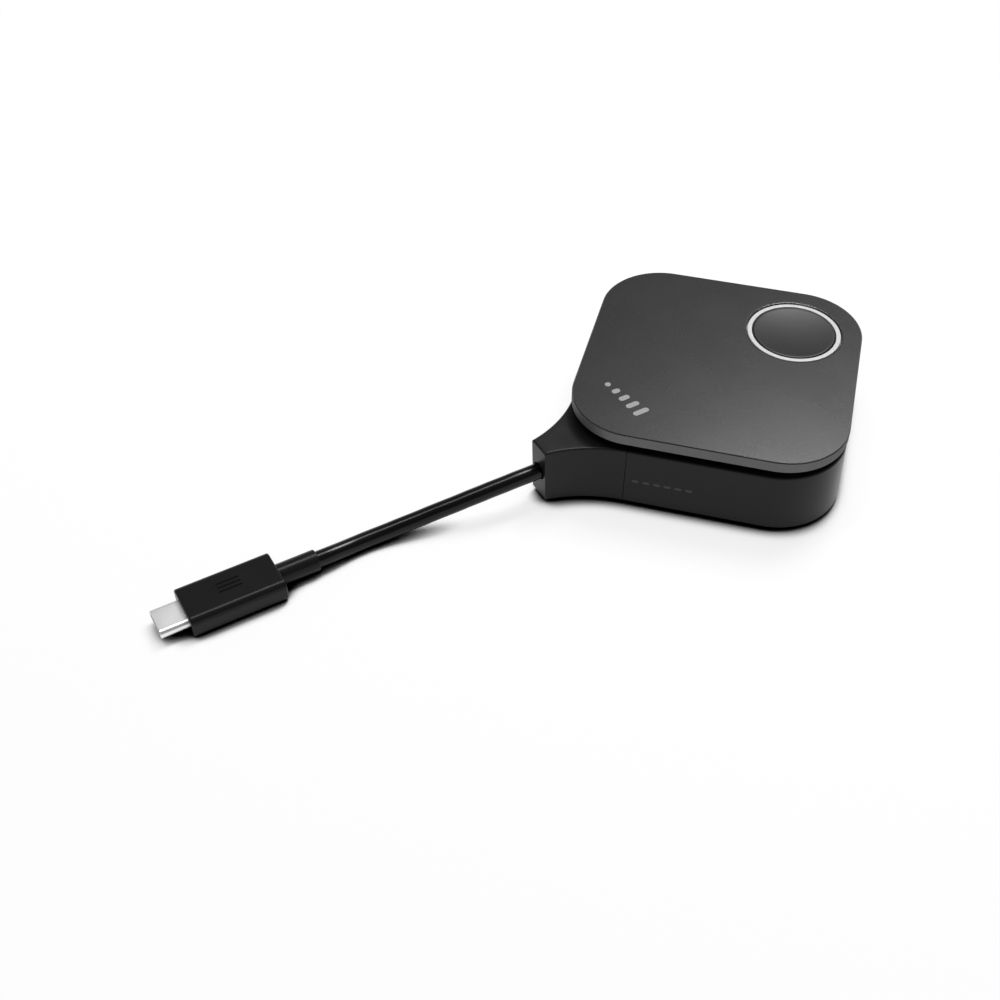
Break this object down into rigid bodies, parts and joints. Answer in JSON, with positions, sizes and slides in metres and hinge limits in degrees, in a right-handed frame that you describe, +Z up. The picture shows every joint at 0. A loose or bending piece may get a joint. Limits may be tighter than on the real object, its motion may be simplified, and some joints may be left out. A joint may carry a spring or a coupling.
{
  "type": "wireless presentation button",
  "caption": "Flat square transmitter puck with a pressable round button and light ring on top, and a short cable that ends in a small reversible data plug.",
  "frame": {"origin": "centre of the puck on the surface it stands on, under the foot pad", "axes": "+Z up, +X along the puck's diagonal from the cable neck towards the button, so the cable leaves towards -X"},
  "size_m": [0.19, 0.0826, 0.022],
  "materials": {
    "housing": "satin moulded black plastic",
    "cover_black": "fine matt black plastic",
    "foot_rubber": "matt non-slip rubber",
    "screw_steel": "zinc-plated steel",
    "frame_black": "matt black plastic",
    "plate_paint": "dark grey metallic paint with a fine sparkle",
    "tape": "bonding tape",
    "ring_diffuser": "milky translucent plastic",
    "cap_paint": "dark grey metallic paint with a fine sparkle",
    "carrier_black": "moulded black plastic",
    "spring_steel": "spring steel wire",
    "circuit_board": "green solder mask",
    "switch_black": "moulded plastic",
    "switch_steel": "stainless sheet",
    "stem_plastic": "ivory plastic",
    "lamp": "lamp body with a pale lens",
    "chip": "moulded chip package",
    "thermal_silicone": "soft heat pad",
    "spreader_metal": "rolled sheet",
    "ferrite": "moulded ferrite",
    "ceramic": "ceramic capacitor body",
    "radio_board": "blue solder mask",
    "shield_steel": "tinned steel can",
    "antenna_copper": "gilt copper on a thin board",
    "coax": "thin coaxial lead",
    "ribbon_film": "flat ribbon film",
    "socket_plastic": "connector plastic",
    "wire_jacket": "insulated wire",
    "cable_jacket": "satin black cable jacket",
    "grommet_rubber": "moulded strain relief",
    "plug_grip": "satin black overmould",
    "plug_steel": "bright drawn steel shell",
    "plug_black": "black insulator",
    "contact_gold": "gilt contacts"
  },
  "bodies": {
    "root": {"base_shell": "housing", "neck_cover": "housing", "bottom_cover": "cover_black", "foot_pad": "foot_rubber", "cover_screws": "screw_steel", "top_frame": "frame_black", "frame_screws": "screw_steel", "top_plate": "plate_paint", "plate_tape": "tape", "light_ring": "ring_diffuser", "return_spring": "spring_steel", "button_board": "circuit_board", "switch_body": "switch_black", "switch_cover": "switch_steel", "status_leds": "lamp", "main_board": "circuit_board", "board_screws": "screw_steel", "processor": "chip", "thermal_pad": "thermal_silicone", "heat_spreader": "spreader_metal", "memory_chips": "chip", "power_coils": "ferrite", "capacitors": "ceramic", "radio_module": "radio_board", "radio_shield": "shield_steel", "antennas": "antenna_copper", "antenna_leads": "coax", "ribbon_cable": "ribbon_film", "ribbon_sockets": "socket_plastic", "cable_header": "socket_plastic", "header_plug": "socket_plastic", "cable_wires": "wire_jacket", "cable_lead": "cable_jacket", "strain_relief": "grommet_rubber", "cable": "cable_jacket", "plug_sleeve": "plug_grip", "plug_mould": "plug_grip", "plug_shell": "plug_steel", "plug_insulator": "plug_black", "plug_contacts": "contact_gold", "plug_tail": "cable_jacket", "plug_card": "circuit_board"},
    "button": {"button_cap": "cap_paint", "button_carrier": "carrier_black"},
    "switch_stem": {"switch_stem": "stem_plastic"}
  },
  "joints": [
    {"name": "button_press", "type": "slide", "parent": "root", "child": "button", "axis": [0, 0, -1], "range_m": [0, 0.0005], "stiffness_N_per_m": 900, "springref_m": -0.0012, "deforming": ["return_spring"]},
    {"name": "stem_press", "type": "slide", "parent": "root", "child": "switch_stem", "axis": [0, 0, -1], "range_m": [0, 0.0005]}
  ],
  "couplings": [
    {"joint": "stem_press", "follows": "button_press", "ratio": 1}
  ]
}
